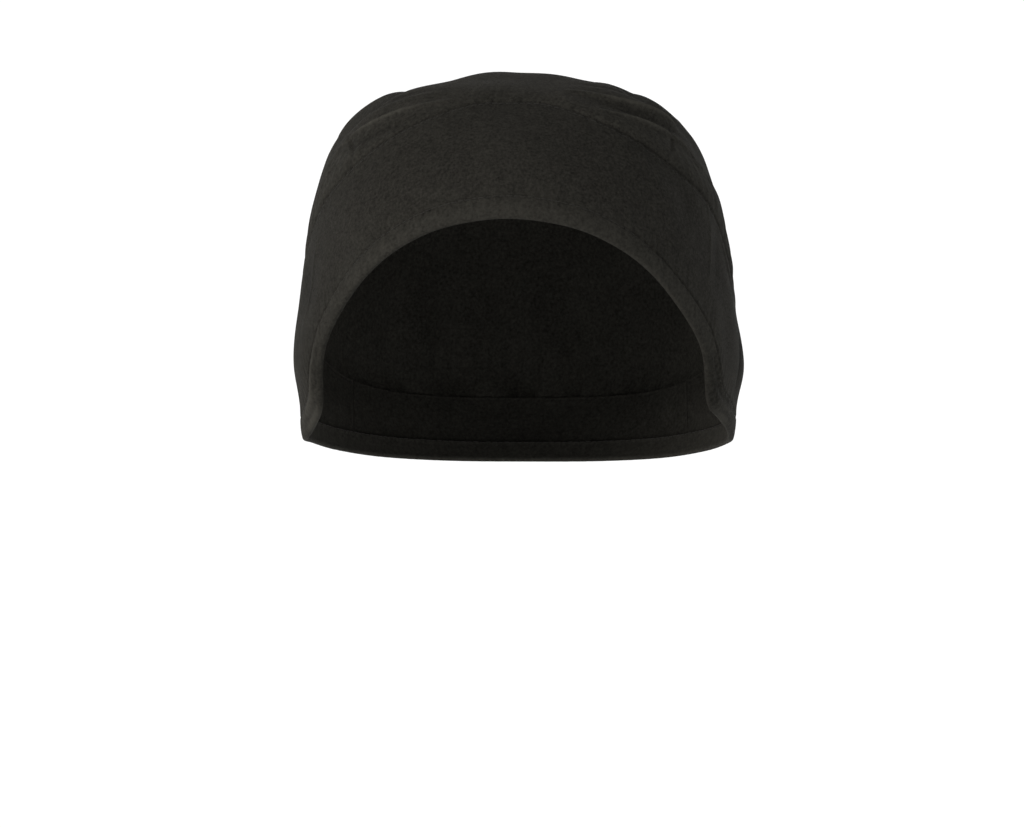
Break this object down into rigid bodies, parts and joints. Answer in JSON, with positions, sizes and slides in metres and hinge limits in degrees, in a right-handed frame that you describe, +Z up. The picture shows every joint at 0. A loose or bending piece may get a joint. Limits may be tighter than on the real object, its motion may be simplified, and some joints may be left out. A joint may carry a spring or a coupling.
{
  "type": "scrub cap",
  "caption": "Soft cloth surgical scrub cap in its worn shape: tall front band from ear to ear, loose pleated crown, hemmed arched face opening and open head hollow.",
  "frame": {"origin": "where the top of the head bears on the crown's inner face", "axes": "+Z up out of the crown, -Y the face, +X to the right of someone who looks at the face"},
  "size_m": [0.1734, 0.2008, 0.1507],
  "materials": {
    "crown_cloth": "matt plain-woven near-black cloth",
    "band_cloth": "matt plain-woven near-black cloth",
    "nape_cloth": "matt plain-woven near-black cloth",
    "hem_cloth": "matt plain-woven near-black cloth, turned and stitched"
  },
  "bodies": {
    "root": {"crown": "crown_cloth", "front_band": "band_cloth", "nape_band": "nape_cloth", "hem_casing": "hem_cloth"}
  },
  "joints": []
}
